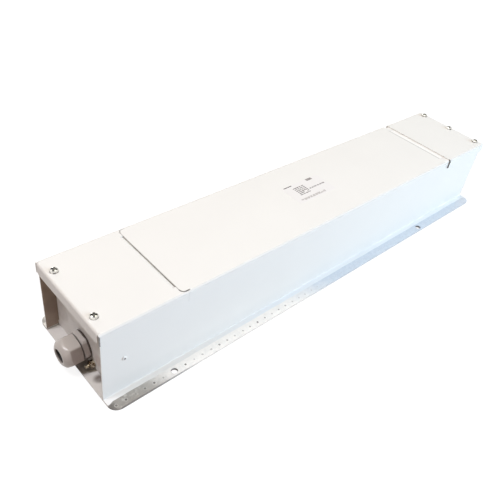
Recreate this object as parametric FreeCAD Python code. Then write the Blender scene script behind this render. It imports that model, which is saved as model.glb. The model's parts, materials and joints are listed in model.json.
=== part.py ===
import FreeCAD, Part
import math
import os

# Two-line power filter in a long folded steel case, in millimetres.
# X runs from the near end, where the supply cable comes in, to the far end.
# Y runs across the case and Z is up. The origin is the middle of the underside.

# Case: base sheet, two side walls with feet, two end plates
overall_length = 735.0
case_width = 126.0
case_height = 106.4
base_sheet = 1.5
wall_sheet = 1.5
bend_radius = 1.5
foot_reach = 20.0
foot_corner = 12.0
top_flange_width = 12.0
inside_flange_width = 12.0
side_flange_width = 20.0
sheet_clearance = 0.1
mount_hole_diameter = 8.0
mount_hole_offset = 14.0
mount_hole_from_near_end = 86.0
mount_hole_spacing = 493.0

# Covers: shallow trays that lap each other like tiles
cover_sheet = 1.5
cover_clearance = 0.5
lip_height = 15.0
lip_corner = 5.0
corner_slot = 2.0
near_cover_length = 101.0
far_cover_length = 104.0
groove_width = 11.5
tongue_lap = 12.0
tongue_clearance = 0.5
joggle_run = 2.0
tongue_relief = 0.6
seam_gap = 0.8
lip_gap = 0.2
middle_corner = 5.0

# End plates, cover rails and rivets
recess_depth = 14.8
rail_depth = 12.0
side_flange_start = 8.0
rivet_diameter = 3.2
rivet_head_diameter = 6.5
rivet_head_height = 1.4
rivet_tail_diameter = 4.8
rivet_tail_length = 2.0
rivet_bore = 1.9
rivet_bore_depth = 3.0
rivet_setback = 12.3
rivet_height = 53.5
hole_clearance = 0.2

# Cover screws and the press nuts below them
screw_diameter = 4.9
screw_length = 12.0
screw_head_diameter = 9.5
screw_head_height = 3.7
screw_slot_length = 5.6
screw_slot_width = 1.1
screw_slot_depth = 2.2
screw_hole_clearance = 0.6
screw_setback = 8.2
far_screw_setback = 7.0
near_screw_spread = 80.0
far_screw_spread = 104.0
press_nut_diameter = 7.6
press_nut_height = 3.5

# Cable glands
gland_height = 25.0
gland_thread_diameter = 24.8
gland_thread_length = 11.0
gland_across_flats = 33.0
gland_corner_diameter = 37.4
gland_turn = 30.0
gland_body_length = 6.8
gland_washer_diameter = 34.0
gland_washer_thickness = 1.4
gland_neck_length = 13.0
gland_neck_wall = 2.0
gland_bore = 17.2
gland_seal_bore = 13.0
gland_seal_length = 15.0
dome_turn = 20.0
dome_length = 21.6
dome_round_length = 8.0
dome_front_diameter = 23.0
dome_gap = 0.8
locknut_across_flats = 32.0
locknut_length = 6.0

# Earth studs
earth_offset = -19.5
earth_height = 11.0
earth_stud_diameter = 5.0
earth_stud_length = 11.0
earth_stud_base_diameter = 7.5
earth_stud_base_thickness = 0.8
earth_washer_diameter = 9.0
earth_washer_thickness = 1.0
earth_nut_across_flats = 8.0
earth_nut_height = 4.0

# Screening bulkheads and feed-through capacitors
bulkhead_sheet = 1.5
bulkhead_seam_offset = 2.5
line_offset = 30.0
line_rise = 2.0
can_diameter = 40.0
can_length = 80.0
can_edge = 2.5
can_resin_depth = 2.0
can_rim = 2.0
neck_diameter = 20.0
neck_length = 12.0
neck_nut_across_flats = 27.0
neck_nut_height = 6.0
line_stud_diameter = 8.0
line_stud_clearance = 0.2
outer_stud_length = 26.0
inner_stud_length = 15.0
line_nut_across_flats = 13.0
line_nut_height = 6.5
line_washer_diameter = 16.0
line_washer_thickness = 1.6
terminal_grip = 4.0
coupling_diameter = 13.0
coupling_length = 20.0

# Chokes: one ring core with a winding for each line
core_bore = 46.0
core_edge = 3.0
lead_length = 11.0
sleeve_thickness = 1.0
wire_thickness = 3.0
winding_clearance = 0.2
turn_count = 9
turn_angle = 9.0
turn_pitch = 14.0
saddle_length = 40.0
saddle_width = 30.0
saddle_height = 8.0
strap_width = 16.0
strap_sheet = 1.0
strap_clearance = 0.3
strap_foot = 10.0
strap_headroom = 7.0

# Levels and stations that follow from the sizes above
half_length = overall_length / 2
half_width = case_width / 2
wall_end = half_length - cover_sheet - cover_clearance
foot_edge = half_width + foot_reach
foot_top = base_sheet + wall_sheet
top_level = case_height + cover_sheet
cover_half = half_width + cover_clearance + cover_sheet
cover_bend = bend_radius + cover_sheet
inner_half = half_width - wall_sheet - sheet_clearance
plate_face = -wall_end + recess_depth
plate_back = plate_face + wall_sheet
near_seam = -half_length + near_cover_length
far_seam = half_length - far_cover_length
middle_end = far_seam - groove_width
lip_split = near_seam + middle_corner + cover_bend
joggle_end = bend_radius / 2
tongue_half = half_width - top_flange_width - tongue_clearance
near_bulkhead = near_seam + bulkhead_seam_offset
far_bulkhead = far_seam + tongue_lap - bulkhead_seam_offset
# The cans of the centre bulkhead face the far end, so it stands off the middle
uneven_reach = neck_length + outer_stud_length - can_length - inner_stud_length
centre_bulkhead = (near_bulkhead + far_bulkhead + uneven_reach) / 2 - bulkhead_sheet
# A choke fills the height of the case and the space between the couplings
winding_depth = winding_clearance + sleeve_thickness + wire_thickness
choke_height = (base_sheet + case_height) / 2
line_height = choke_height + line_rise
strap_inner = case_height - strap_headroom - strap_sheet - choke_height
core_diameter = 2 * (strap_inner - strap_clearance - winding_depth)
can_and_stud = can_length + inner_stud_length
joints = {
    "near": (
        near_bulkhead + bulkhead_sheet + can_and_stud,
        centre_bulkhead + bulkhead_sheet - neck_length - outer_stud_length,
    ),
    "far": (
        centre_bulkhead + bulkhead_sheet + can_and_stud,
        far_bulkhead - bulkhead_sheet - can_and_stud,
    ),
}
coupled_reach = joints["near"][1] - joints["near"][0] - coupling_length
core_length = coupled_reach - 2 * (lead_length + winding_depth)

X_AXIS = FreeCAD.Vector(1, 0, 0)
Y_AXIS = FreeCAD.Vector(0, 1, 0)
Z_AXIS = FreeCAD.Vector(0, 0, 1)
ORIGIN = FreeCAD.Vector(0, 0, 0)


# Flat outlines and the solids made from them

def on_yz(x):
    return lambda y, z: FreeCAD.Vector(x, y, z)


def on_xz(y):
    return lambda x, z: FreeCAD.Vector(x, y, z)


def on_xy(z):
    return lambda x, y: FreeCAD.Vector(x, y, z)


def unit(start, end):
    length = math.hypot(end[0] - start[0], end[1] - start[1])
    return (end[0] - start[0]) / length, (end[1] - start[1]) / length


def rounded_wire(corners, place):
    """Closed wire through corners (u, v, radius); a radius of 0 leaves the corner sharp."""
    stretches = []
    for index, (u, v, radius) in enumerate(corners):
        to_last = unit((u, v), corners[index - 1])
        to_next = unit((u, v), corners[(index + 1) % len(corners)])
        if radius == 0:
            stretches.append([(u, v)])
            continue
        half_angle = math.acos(to_last[0] * to_next[0] + to_last[1] * to_next[1]) / 2
        reach = radius / math.tan(half_angle)
        middle = unit((0, 0), (to_last[0] + to_next[0], to_last[1] + to_next[1]))
        inset = radius / math.sin(half_angle) - radius
        stretches.append([
            (u + to_last[0] * reach, v + to_last[1] * reach),
            (u + middle[0] * inset, v + middle[1] * inset),
            (u + to_next[0] * reach, v + to_next[1] * reach),
        ])
    edges = []
    for index, stretch in enumerate(stretches):
        points = [place(*point) for point in stretch]
        if len(points) == 3:
            edges.append(Part.Arc(*points).toShape())
        following = place(*stretches[(index + 1) % len(stretches)][0])
        if points[-1].distanceToPoint(following) > 1e-6:
            edges.append(Part.LineSegment(points[-1], following).toShape())
    return Part.Wire(edges)


def prism(corners, place, travel):
    return Part.Face(rounded_wire(corners, place)).extrude(travel)


def sharp(points):
    return [(u, v, 0) for u, v in points]


def rectangle(low_u, high_u, low_v, high_v, radius=0):
    corners = [(low_u, low_v), (high_u, low_v), (high_u, high_v), (low_u, high_v)]
    return [(u, v, radius) for u, v in corners]


def bent_sheet(path, sheet):
    """Outline of a folded sheet; its outer face follows the path, the metal lies to the right of it."""
    legs = [unit(start, end) for start, end in zip(path, path[1:])]
    outer = [(path[0][0], path[0][1], 0)]
    inner = [(path[0][0] + legs[0][1] * sheet, path[0][1] - legs[0][0] * sheet, 0)]
    for point, leg, next_leg in zip(path[1:-1], legs, legs[1:]):
        cosine = leg[0] * next_leg[0] + leg[1] * next_leg[1]
        share = sheet / (1 + cosine)
        shifted = (point[0] + (leg[1] + next_leg[1]) * share, point[1] - (leg[0] + next_leg[0]) * share)
        turns_right = leg[0] * next_leg[1] - leg[1] * next_leg[0] < 0
        outer_radius = bend_radius + sheet if turns_right else bend_radius
        inner_radius = bend_radius if turns_right else bend_radius + sheet
        outer.append((point[0], point[1], outer_radius))
        inner.append((shifted[0], shifted[1], inner_radius))
    outer.append((path[-1][0], path[-1][1], 0))
    last = legs[-1]
    inner.append((path[-1][0] + last[1] * sheet, path[-1][1] - last[0] * sheet, 0))
    return outer + inner[::-1]


def box(low, high):
    size = [high[axis] - low[axis] for axis in range(3)]
    return Part.makeBox(size[0], size[1], size[2], FreeCAD.Vector(*low))


def turned(corners):
    """Solid of revolution about X from corners (x, radius, edge radius)."""
    face = Part.Face(rounded_wire(corners, on_xz(0)))
    return face.revolve(ORIGIN, X_AXIS, 360)


def hexagon_bar(across_flats, start, length, turn=0.0):
    """Hexagonal bar along X from x = start."""
    radius = across_flats / math.sqrt(3)
    angles = [math.radians(60 * side + turn) for side in range(6)]
    points = [(radius * math.sin(angle), radius * math.cos(angle)) for angle in angles]
    return prism(sharp(points), on_yz(start), X_AXIS * length)


def moved(shape, x=0.0, y=0.0, z=0.0):
    copy = shape.copy()
    copy.translate(FreeCAD.Vector(x, y, z))
    return copy


def far_side(shape):
    """The same piece at the other end of the case."""
    return shape.mirror(ORIGIN, X_AXIS)


def left_side(shape):
    """The same piece on the other side of the case."""
    return shape.mirror(ORIGIN, Y_AXIS)


def drilled(shape, diameter, centre, direction, depth):
    half = FreeCAD.Vector(direction) * (depth / 2)
    start = FreeCAD.Vector(*centre) - half
    return shape.cut(Part.makeCylinder(diameter / 2, depth, start, direction))


# Case

def mount_hole_places():
    first = -half_length + mount_hole_from_near_end
    offset = half_width + mount_hole_offset
    return [(x, y) for x in (first, first + mount_hole_spacing) for y in (-offset, offset)]


def base_outline():
    return rectangle(-wall_end, wall_end, -foot_edge, foot_edge, foot_corner)


def with_mount_holes(shape):
    for x, y in mount_hole_places():
        shape = drilled(shape, mount_hole_diameter, (x, y, base_sheet), Z_AXIS, 4 * foot_top)
    return shape


def base_plate():
    return with_mount_holes(prism(base_outline(), on_xy(0), Z_AXIS * base_sheet))


def right_side_wall():
    path = [
        (-foot_edge, foot_top),
        (-half_width, foot_top),
        (-half_width, case_height),
        (-half_width + top_flange_width, case_height),
    ]
    wall = prism(bent_sheet(path, wall_sheet), on_yz(-wall_end), X_AXIS * 2 * wall_end)
    wall = wall.common(prism(base_outline(), on_xy(0), Z_AXIS * 2 * case_height))
    # The top flange stops at the end plates, where the cover rails take its place
    gap_low = (-wall_end - 1, -half_width + wall_sheet, case_height - 2 * (wall_sheet + bend_radius))
    gap_high = (plate_back + cover_clearance, 0, case_height + 1)
    top_gap = box(gap_low, gap_high)
    wall = wall.cut(top_gap).cut(far_side(top_gap))
    hole_place = (plate_face + rivet_setback, -half_width, rivet_height)
    wall = drilled(wall, rivet_diameter + hole_clearance, hole_place, Y_AXIS, 6 * wall_sheet)
    return with_mount_holes(wall)


def end_plate():
    """Recessed end plate; its side and floor flanges are turned back and spot-welded to the case."""
    path = [
        (plate_back, case_height),
        (plate_back, foot_top),
        (plate_back + inside_flange_width, foot_top),
    ]
    section = bent_sheet(path, wall_sheet)
    plate = prism(section, on_xz(-inner_half), Y_AXIS * 2 * inner_half)
    flange_low = base_sheet + side_flange_start
    flange_high = case_height - side_flange_start
    bend = bend_radius + wall_sheet
    side_path = [
        (plate_back + side_flange_width, -inner_half),
        (plate_face, -inner_half),
        (plate_face, -inner_half + bend),
    ]
    height = flange_high - flange_low
    side_flange = prism(bent_sheet(side_path, wall_sheet), on_xy(flange_low), Z_AXIS * height)
    notch_low = (plate_face - 1, -inner_half - 1, flange_low)
    notch_high = (plate_back + 1, -inner_half + bend, flange_high)
    notch = box(notch_low, notch_high)
    plate = plate.cut(notch).cut(left_side(notch))
    plate = plate.fuse([side_flange, left_side(side_flange)]).removeSplitter()
    gland_hole = gland_thread_diameter + 2 * hole_clearance
    return drilled(plate, gland_hole, (plate_face, 0, gland_height), X_AXIS, 8 * wall_sheet)


def with_rivet_holes(plate):
    rivet_hole = rivet_diameter + hole_clearance
    rivet_place = (plate_face + rivet_setback, 0, rivet_height)
    return drilled(plate, rivet_hole, rivet_place, Y_AXIS, 2 * case_width)


def cover_rail(screw_places):
    """Angle on the front of an end plate that takes the cover screws over the recess."""
    path = [
        (-half_length + cover_bend + sheet_clearance, case_height),
        (plate_face, case_height),
        (plate_face, case_height - rail_depth),
    ]
    rail = prism(bent_sheet(path, wall_sheet), on_xz(-inner_half), Y_AXIS * 2 * inner_half)
    hole = screw_diameter + 2 * hole_clearance
    for x, y in screw_places:
        rail = drilled(rail, hole, (x, y, case_height), Z_AXIS, 4 * wall_sheet)
    return rail


# Covers

def near_screw_places():
    x = -half_length + cover_sheet + screw_setback
    return [(x, side * near_screw_spread / 2) for side in (-1, 1)]


def far_screw_places():
    x = -half_length + cover_sheet + far_screw_setback
    return [(x, side * far_screw_spread / 2) for side in (-1, 0, 1)]


def cover_section():
    lip_edge = top_level - lip_height
    path = [
        (-cover_half, lip_edge),
        (-cover_half, top_level),
        (cover_half, top_level),
        (cover_half, lip_edge),
    ]
    return bent_sheet(path, cover_sheet)


def cover_length(start, end):
    return prism(cover_section(), on_yz(start), X_AXIS * (end - start))


def tongue(seam):
    """Joggled strip that ends in a tongue one sheet lower, under the next cover."""
    path = [
        (joggle_start(seam), top_level),
        (seam - joggle_end - joggle_run, top_level),
        (seam - joggle_end, top_level - cover_sheet),
        (seam + tongue_reach(seam), top_level - cover_sheet),
    ]
    corners = bent_sheet(path, cover_sheet)
    return prism(corners, on_xz(-tongue_half), Y_AXIS * 2 * tongue_half)


def joggle_start(seam):
    return seam - joggle_end - joggle_run - bend_radius


def tongue_reach(seam):
    return tongue_lap if seam == near_seam else groove_width + tongue_lap


def with_tongue(cover, seam):
    # A narrow relief cut on each side lets the tongue bend on its own
    half = tongue_half + tongue_relief
    low = (joggle_start(seam), -half, case_height - cover_sheet)
    high = (seam + tongue_reach(seam), half, top_level + 1)
    return cover.cut(box(low, high)).fuse(tongue(seam)).removeSplitter()


def end_cover(start, end, screw_places):
    """Tray with three lips; the end lip is clear of the side lips at both corners."""
    cover = cover_length(start + cover_clearance, end)
    flat_half = cover_half - cover_bend
    opening_low = (start - 1, -flat_half, top_level - lip_height - 1)
    opening_high = (start + cover_bend, flat_half, top_level + 1)
    cover = cover.cut(box(opening_low, opening_high))
    lip_half = cover_half - cover_sheet - corner_slot
    path = [
        (start, top_level - lip_height),
        (start, top_level),
        (start + 2 * cover_bend, top_level),
    ]
    lip = prism(bent_sheet(path, cover_sheet), on_xz(-lip_half), Y_AXIS * 2 * lip_half)
    low_edge = top_level - lip_height
    front_outline = [
        (-lip_half, low_edge, lip_corner),
        (lip_half, low_edge, lip_corner),
        (lip_half, top_level, 0),
        (-lip_half, top_level, 0),
    ]
    lip = lip.common(prism(front_outline, on_yz(start - 1), X_AXIS * 4 * cover_bend))
    cover = cover.fuse(lip).removeSplitter()
    for x, y in screw_places:
        hole = screw_diameter + screw_hole_clearance
        cover = drilled(cover, hole, (x, y, top_level), Z_AXIS, 4 * cover_sheet)
    return cover


def near_cover():
    cover = end_cover(-half_length, lip_split - lip_gap, near_screw_places())
    half = cover_half - cover_bend + seam_gap
    radius = middle_corner + seam_gap
    low_x = near_seam
    high_x = lip_split + 2 * radius
    outline = rectangle(low_x, high_x, -half, half, radius)
    cover = cover.cut(prism(outline, on_xy(case_height - 1), Z_AXIS * 4 * cover_sheet))
    return with_tongue(cover, near_seam)


def middle_cover():
    start = near_seam + seam_gap / 2
    half = cover_half - cover_bend
    cover = cover_length(lip_split, middle_end)
    corners = [
        (start, -half, middle_corner),
        (lip_split, -half, 0),
        (lip_split, half, 0),
        (start, half, middle_corner),
    ]
    nose = prism(corners, on_xy(case_height), Z_AXIS * cover_sheet)
    return with_tongue(cover.fuse(nose).removeSplitter(), middle_end)


def far_cover():
    length = half_length - far_seam
    return far_side(end_cover(-half_length, -half_length + length, far_screw_places()))


# Fasteners

def cover_screw(x, y):
    """Pan head screw with a cross recess, standing on the cover."""
    radius = screw_head_diameter / 2
    shank = screw_diameter / 2
    profile = [
        (-screw_length, 0, 0),
        (-screw_length, shank, 0),
        (0, shank, 0),
        (0, radius, 0),
        (screw_head_height, radius, 0.6 * screw_head_height),
        (screw_head_height, 0, 0),
    ]
    screw = turned(profile)
    screw.rotate(ORIGIN, Y_AXIS, -90)
    for length, width in ((screw_slot_length, screw_slot_width), (screw_slot_width, screw_slot_length)):
        low = (-length / 2, -width / 2, screw_head_height - screw_slot_depth)
        high = (length / 2, width / 2, screw_head_height + 1)
        screw = screw.cut(box(low, high))
    return moved(screw, x, y, top_level)


def press_nut(x, y):
    base = FreeCAD.Vector(x, y, case_height - wall_sheet - press_nut_height)
    nut = Part.makeCylinder(press_nut_diameter / 2, press_nut_height, base)
    bore = (screw_diameter + hole_clearance) / 2
    return nut.cut(Part.makeCylinder(bore, press_nut_height, base))


def plate_rivet():
    """Blind rivet that holds the right side wall to the near end plate's side flange."""
    grip = 2 * wall_sheet + sheet_clearance
    shank = rivet_diameter / 2
    head = rivet_head_diameter / 2
    tail = rivet_tail_diameter / 2
    bore = rivet_bore / 2
    profile = [
        (rivet_bore_depth - rivet_head_height, 0, 0),
        (rivet_bore_depth - rivet_head_height, bore, 0),
        (-rivet_head_height, bore, 0),
        (-rivet_head_height, head, 0.7 * rivet_head_height),
        (0, head, 0),
        (0, shank, 0),
        (grip, shank, 0),
        (grip, tail, 0),
        (grip + rivet_tail_length, tail, 0.5 * rivet_tail_length),
        (grip + rivet_tail_length, 0, 0),
    ]
    rivet = turned(profile)
    rivet.rotate(ORIGIN, Z_AXIS, 90)
    return moved(rivet, plate_face + rivet_setback, -half_width, rivet_height)


def nut(across_flats, bore, start, height):
    """Hexagonal nut along X with chamfered corners."""
    corner = across_flats / math.sqrt(3)
    chamfer = corner - across_flats / 2
    rim = corner - 0.7 * chamfer
    skew = 0.4 * chamfer
    turning = turned(sharp([
        (start, 0),
        (start, rim),
        (start + skew, corner),
        (start + height - skew, corner),
        (start + height, rim),
        (start + height, 0),
    ]))
    blank = hexagon_bar(across_flats, start, height).common(turning)
    return blank.cut(Part.makeCylinder(bore / 2, height, FreeCAD.Vector(start, 0, 0), X_AXIS))


def ring(outer, bore, start, thickness):
    place = FreeCAD.Vector(start, 0, 0)
    disc = Part.makeCylinder(outer / 2, thickness, place, X_AXIS)
    return disc.cut(Part.makeCylinder(bore / 2, thickness, place, X_AXIS))


# Cable gland, built about X with the plate's outer face at x = 0

def gland_washer():
    bore = gland_thread_diameter + hole_clearance
    return ring(gland_washer_diameter, bore, -gland_washer_thickness, gland_washer_thickness)


def gland_body():
    """Hexagon, threaded tail through the plate and slim neck inside the dome nut."""
    front = -gland_washer_thickness - gland_body_length
    neck_front = front - gland_neck_length
    thread = gland_thread_diameter / 2
    hexagon = hexagon_bar(gland_across_flats, front, gland_body_length, gland_turn)
    chamfer = (gland_corner_diameter - gland_across_flats) / 2
    turning = turned(sharp([
        (front, 0),
        (front, gland_corner_diameter / 2 - chamfer),
        (front + chamfer, gland_corner_diameter / 2),
        (-gland_washer_thickness, gland_corner_diameter / 2),
        (-gland_washer_thickness, 0),
    ]))
    stem = turned(sharp([
        (neck_front, 0),
        (neck_front, thread),
        (gland_thread_length, thread),
        (gland_thread_length, 0),
    ]))
    bore = thread - gland_neck_wall
    cavity = Part.makeCylinder(
        bore, 2 * half_length, FreeCAD.Vector(-half_length, 0, 0), X_AXIS)
    return hexagon.common(turning).fuse(stem).removeSplitter().cut(cavity)


def gland_seal():
    start = -gland_washer_thickness - gland_body_length - gland_neck_length
    outer = gland_thread_diameter - 2 * gland_neck_wall - hole_clearance
    return ring(outer, gland_seal_bore, start, gland_seal_length)


def gland_dome_nut():
    """Hexagon that runs out into a round nose."""
    back = -gland_washer_thickness - gland_body_length - dome_gap
    front = back - dome_length
    shoulder = front + dome_round_length
    corner = gland_corner_diameter / 2
    nose = dome_front_diameter / 2
    bore = gland_bore / 2
    edge = corner - gland_across_flats / 2
    nose_round = 0.45 * (nose - bore)
    profile = [
        (front, bore, nose_round),
        (front, nose, nose_round),
        (front + dome_round_length / 3, gland_across_flats / 2 - edge / 2, dome_round_length / 3),
        (shoulder, corner, dome_round_length / 3),
        (back - edge, corner, 0),
        (back, corner - edge, 0),
        (back, bore, 0),
    ]
    outside = turned(profile)
    hexagon = hexagon_bar(gland_across_flats, front, dome_length, dome_turn)
    cavity_radius = gland_thread_diameter / 2 + hole_clearance
    neck_front = -gland_washer_thickness - gland_body_length - gland_neck_length
    cavity_front = neck_front - hole_clearance
    cone_front = cavity_front - (cavity_radius - bore)
    cavity = turned(sharp([
        (cone_front, 0),
        (cone_front, bore),
        (cavity_front, cavity_radius),
        (back + 1, cavity_radius),
        (back + 1, 0),
    ]))
    return outside.common(hexagon).cut(cavity)


def gland_locknut():
    bore = gland_thread_diameter + hole_clearance
    return nut(locknut_across_flats, bore, wall_sheet, locknut_length)


def at_gland(shape):
    return moved(shape, plate_face, 0, gland_height)


# Earth stud, built about X with the plate's outer face at x = 0

def earth_stud():
    stud = Part.makeCylinder(
        earth_stud_diameter / 2, earth_stud_length, FreeCAD.Vector(-earth_stud_length, 0, 0), X_AXIS)
    foot = Part.makeCylinder(
        earth_stud_base_diameter / 2, earth_stud_base_thickness,
        FreeCAD.Vector(-earth_stud_base_thickness, 0, 0), X_AXIS)
    return stud.fuse(foot).removeSplitter()


def earth_washer():
    start = -earth_stud_base_thickness - earth_washer_thickness
    return ring(earth_washer_diameter, earth_stud_diameter + hole_clearance, start, earth_washer_thickness)


def earth_nut():
    start = -earth_stud_base_thickness - earth_washer_thickness - earth_nut_height
    return nut(earth_nut_across_flats, earth_stud_diameter + hole_clearance, start, earth_nut_height)


def at_earth(shape):
    return moved(shape, plate_face, earth_offset, earth_height)


# Screening bulkheads and the feed-through capacitors in them

def bulkhead():
    """Cross wall with its flanges towards +X; the front face is at x = 0."""
    high = case_height - wall_sheet
    path = [
        (inside_flange_width, base_sheet),
        (0, base_sheet),
        (0, high),
        (inside_flange_width, high),
    ]
    wall = prism(bent_sheet(path, bulkhead_sheet), on_xz(-inner_half), Y_AXIS * 2 * inner_half)
    corner = bend_radius + wall_sheet
    outline = [
        (-inner_half, base_sheet, 0),
        (inner_half, base_sheet, 0),
        (inner_half, high, corner),
        (-inner_half, high, corner),
    ]
    wall = wall.common(prism(outline, on_yz(0), X_AXIS * inside_flange_width))
    hole = neck_diameter + 2 * hole_clearance
    for y in (-line_offset, line_offset):
        wall = drilled(wall, hole, (0, y, line_height), X_AXIS, 8 * bulkhead_sheet)
    return wall


def capacitor_can():
    """Feed-through can behind its mounting face at x = 0, neck towards -X, bore for the stud."""
    radius = can_diameter / 2
    bore = (line_stud_diameter + line_stud_clearance) / 2
    rim = radius - can_rim
    neck = neck_diameter / 2
    return turned([
        (-neck_length, bore, 0),
        (-neck_length, neck, 0),
        (0, neck, 0),
        (0, radius, can_edge),
        (can_length, radius, 0),
        (can_length, rim, 0),
        (can_length - can_resin_depth, rim, 0),
        (can_length - can_resin_depth, bore, 0),
    ])


def capacitor_stud():
    start = -neck_length - outer_stud_length
    end = can_length + inner_stud_length
    place = FreeCAD.Vector(start, 0, 0)
    return Part.makeCylinder(line_stud_diameter / 2, end - start, place, X_AXIS)


def capacitor_nut():
    start = -bulkhead_sheet - neck_nut_height
    return nut(neck_nut_across_flats, neck_diameter + hole_clearance, start, neck_nut_height)


def terminal_washer():
    start = -neck_length - line_washer_thickness
    return ring(line_washer_diameter, line_stud_diameter + hole_clearance, start, line_washer_thickness)


def terminal_nut():
    start = -neck_length - line_washer_thickness - line_nut_height
    return nut(line_nut_across_flats, line_stud_diameter + hole_clearance, start, line_nut_height)


def coupling():
    """Sleeve that joins two rods butted together at x = 0."""
    bore = line_stud_diameter + hole_clearance
    return ring(coupling_diameter, bore, -coupling_length / 2, coupling_length)


# Chokes, built about X with the middle of the core at x = 0

def choke_core():
    half = core_length / 2
    inner = core_bore / 2
    outer = core_diameter / 2
    return turned(rectangle(-half, half, inner, outer, core_edge))


def winding_frame(thickness, start_angle, angle):
    """Part of a rectangular tube bent round the core."""
    gap = winding_clearance
    half = core_length / 2 + gap
    inner = core_bore / 2 - gap
    outer = core_diameter / 2 + gap
    outline = rectangle(-half - thickness, half + thickness, inner - thickness, outer + thickness)
    opening = rectangle(-half, half, inner, outer)
    face = Part.Face([rounded_wire(outline, on_xz(0)), rounded_wire(opening, on_xz(0))])
    face.validate()
    face.rotate(ORIGIN, X_AXIS, start_angle)
    return face.revolve(ORIGIN, X_AXIS, angle)


def choke_winding(lead_reach):
    """Winding on the right half of the core, with a straight lead at each end."""
    middle = 90.0
    span = (turn_count - 1) * turn_pitch + turn_angle
    pieces = []
    for turn in range(turn_count):
        start = middle - span / 2 + turn * turn_pitch
        pieces.append(winding_frame(sleeve_thickness + wire_thickness, start, turn_angle))
    half = core_length / 2 + winding_clearance
    rise = line_height - choke_height
    for side in (-1, 1):
        length = lead_reach - half
        foot = FreeCAD.Vector(side * half, -line_offset, rise)
        pieces.append(Part.makeCylinder(line_stud_diameter / 2, length, foot, X_AXIS * side))
    sleeve = winding_frame(sleeve_thickness, middle - span / 2, span)
    return sleeve.fuse(pieces).removeSplitter()


def choke_saddle():
    """Block that carries the core on the base, hollowed to its curve."""
    reach = core_diameter / 2
    floor = base_sheet - choke_height
    low = (-saddle_length / 2, -saddle_width / 2, floor)
    high = (saddle_length / 2, saddle_width / 2, -reach + saddle_height)
    place = FreeCAD.Vector(-saddle_length, 0, 0)
    return box(low, high).cut(Part.makeCylinder(reach, 2 * saddle_length, place, X_AXIS))


def choke_strap():
    """Steel band over the choke with a foot on each side."""
    inner = strap_inner
    outer = inner + strap_sheet
    floor = base_sheet - choke_height
    start = -strap_width / 2
    half_round = Part.makeCylinder(outer, strap_width, FreeCAD.Vector(start, 0, 0), X_AXIS)
    band = half_round.fuse(box((start, -outer, floor), (-start, outer, 0)))
    bore = Part.makeCylinder(inner, strap_width, FreeCAD.Vector(start, 0, 0), X_AXIS)
    band = band.cut(bore).cut(box((start, -inner, floor), (-start, inner, 0)))
    band = band.removeSplitter()
    foot = box((start, -outer - strap_foot, floor), (-start, -inner, floor + strap_sheet))
    return band.fuse([foot, left_side(foot)]).removeSplitter()


# Assembly

parts = {}
parts["base_plate"] = base_plate()
parts["right_side_wall"] = right_side_wall()
parts["left_side_wall"] = left_side(parts["right_side_wall"])
parts["near_end_plate"] = with_rivet_holes(end_plate())
parts["far_end_plate"] = far_side(end_plate())
parts["near_cover_rail"] = cover_rail(near_screw_places())
parts["far_cover_rail"] = far_side(cover_rail(far_screw_places()))
parts["near_cover"] = near_cover()
parts["middle_cover"] = middle_cover()
parts["far_cover"] = far_cover()

far_places = [(-x, y) for x, y in far_screw_places()]
parts["near_cover_screws"] = Part.makeCompound([cover_screw(x, y) for x, y in near_screw_places()])
parts["far_cover_screws"] = Part.makeCompound([cover_screw(x, y) for x, y in far_places])
nut_places = near_screw_places() + far_places
parts["press_nuts"] = Part.makeCompound([press_nut(x, y) for x, y in nut_places])
parts["plate_rivets"] = Part.makeCompound([plate_rivet(), left_side(plate_rivet())])

end_fittings = {
    "gland_washer": at_gland(gland_washer()),
    "gland_body": at_gland(gland_body()),
    "gland_seal": at_gland(gland_seal()),
    "gland_dome_nut": at_gland(gland_dome_nut()),
    "gland_locknut": at_gland(gland_locknut()),
    "earth_stud": at_earth(earth_stud()),
    "earth_washer": at_earth(earth_washer()),
    "earth_nut": at_earth(earth_nut()),
}
for name, shape in end_fittings.items():
    parts["near_" + name] = shape
    parts["far_" + name] = far_side(shape)

parts["near_bulkhead"] = moved(bulkhead(), near_bulkhead)
parts["centre_bulkhead"] = moved(bulkhead(), centre_bulkhead)
parts["far_bulkhead"] = moved(far_side(bulkhead()), far_bulkhead)

# Mounting face and direction of each pair of capacitors
stations = {
    "near": (near_bulkhead + bulkhead_sheet, 1),
    "centre": (centre_bulkhead + bulkhead_sheet, 1),
    "far": (far_bulkhead - bulkhead_sheet, -1),
}


def at_station(shape, station, side):
    face, direction = stations[station]
    facing = shape if direction > 0 else far_side(shape)
    return moved(facing, face, side * line_offset, line_height)


neck_nuts = []
terminal_nuts = []
terminal_washers = []
for station in stations:
    for line, side in (("line", -1), ("neutral", 1)):
        parts[station + "_" + line + "_capacitor"] = at_station(capacitor_can(), station, side)
        parts[station + "_" + line + "_stud"] = at_station(capacitor_stud(), station, side)
        neck_nuts.append(at_station(capacitor_nut(), station, side))
        if station != "centre":
            terminal_washers.append(at_station(terminal_washer(), station, side))
            terminal_nuts.append(at_station(terminal_nut(), station, side))
parts["capacitor_nuts"] = Part.makeCompound(neck_nuts)
parts["terminal_washers"] = Part.makeCompound(terminal_washers)
parts["terminal_nuts"] = Part.makeCompound(terminal_nuts)

# Each choke lies midway between the stud ends that it joins
couplings = []
for end, (first, second) in joints.items():
    middle = (first + second) / 2
    reach = (second - first) / 2
    winding = choke_winding(reach)
    parts[end + "_choke_core"] = moved(choke_core(), middle, 0, choke_height)
    parts[end + "_line_winding"] = moved(winding, middle, 0, choke_height)
    parts[end + "_neutral_winding"] = moved(left_side(winding), middle, 0, choke_height)
    parts[end + "_choke_saddle"] = moved(choke_saddle(), middle, 0, choke_height)
    parts[end + "_choke_strap"] = moved(choke_strap(), middle, 0, choke_height)
    for x in (first, second):
        for side in (-1, 1):
            couplings.append(moved(coupling(), x, side * line_offset, line_height))
parts["rod_couplings"] = Part.makeCompound(couplings)

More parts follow.
